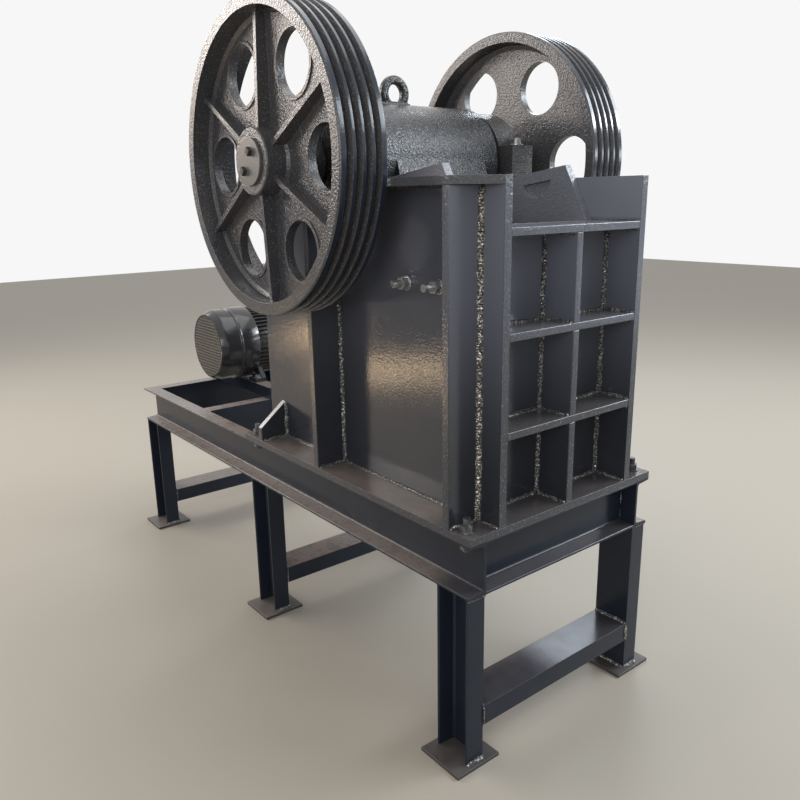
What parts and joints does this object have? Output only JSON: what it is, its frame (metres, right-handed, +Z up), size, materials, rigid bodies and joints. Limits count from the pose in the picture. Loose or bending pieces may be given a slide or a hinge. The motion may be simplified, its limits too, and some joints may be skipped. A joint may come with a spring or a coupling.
{
  "type": "jaw crusher",
  "caption": "Jaw crusher with a ribbed welded body, toothed jaws and grooved flywheels, on a skid of channels with its motor behind.",
  "frame": {"origin": "on the floor, under the middle of the skid's length and width", "axes": "+X from the motor end of the skid towards the crusher's ribbed front wall, +Y towards the motor's drive end, +Z up"},
  "size_m": [2.177, 1.106, 1.9765],
  "materials": {
    "enamel": "glossy charcoal enamel over steel plate",
    "cast_enamel": "glossy charcoal enamel over a rough casting",
    "motor_enamel": "glossy black enamel",
    "manganese_steel": "as cast, dark",
    "machined_steel": "turned",
    "fastener": "plated"
  },
  "bodies": {
    "frame": {"base_plate": "enamel", "side_plate_right": "enamel", "side_plate_left": "enamel", "front_wall": "enamel", "front_shelves": "enamel", "front_center_ribs": "enamel", "rear_wall": "enamel", "stiffeners_right": "enamel", "stiffeners_left": "enamel", "top_flange_right": "enamel", "top_flange_left": "enamel", "bearing_housing_right": "cast_enamel", "bearing_housing_left": "cast_enamel", "bearing_cap_right": "cast_enamel", "bearing_cap_left": "cast_enamel", "bearing_bolts": "fastener", "fixed_jaw_plate": "manganese_steel", "cheek_plate_right": "manganese_steel", "cheek_plate_left": "manganese_steel", "cheek_bolts": "fastener", "toggle_block": "cast_enamel", "toggle_plate": "cast_enamel", "tension_rod": "fastener", "tension_spring": "fastener", "hold_down_bolts": "fastener", "skid_beam_right": "enamel", "skid_beam_left": "enamel", "skid_cross_members": "enamel", "legs": "enamel", "foot_plates": "enamel", "leg_ties": "enamel", "motor_rails": "enamel", "motor_body": "motor_enamel", "motor_fan_cowl": "motor_enamel", "motor_end_shield": "motor_enamel", "motor_terminal_box": "motor_enamel", "motor_shaft": "machined_steel", "motor_pulley": "cast_enamel"},
    "rotor": {"eccentric_shaft": "machined_steel", "flywheel_right": "cast_enamel", "flywheel_left": "cast_enamel", "hub_caps": "machined_steel"},
    "moving_jaw": {"moving_jaw": "cast_enamel", "moving_jaw_plate": "manganese_steel", "lifting_eye": "cast_enamel"}
  },
  "joints": [
    {"name": "shaft_spin", "type": "hinge", "parent": "frame", "child": "rotor", "pos_m": [0.3945, 0, 1.5645], "axis": [0, 1, 0], "continuous": true},
    {"name": "jaw_swing", "type": "hinge", "parent": "frame", "child": "moving_jaw", "pos_m": [0.3945, 0, 1.5645], "axis": [0, -1, 0], "range_deg": [0, 0.8]}
  ]
}
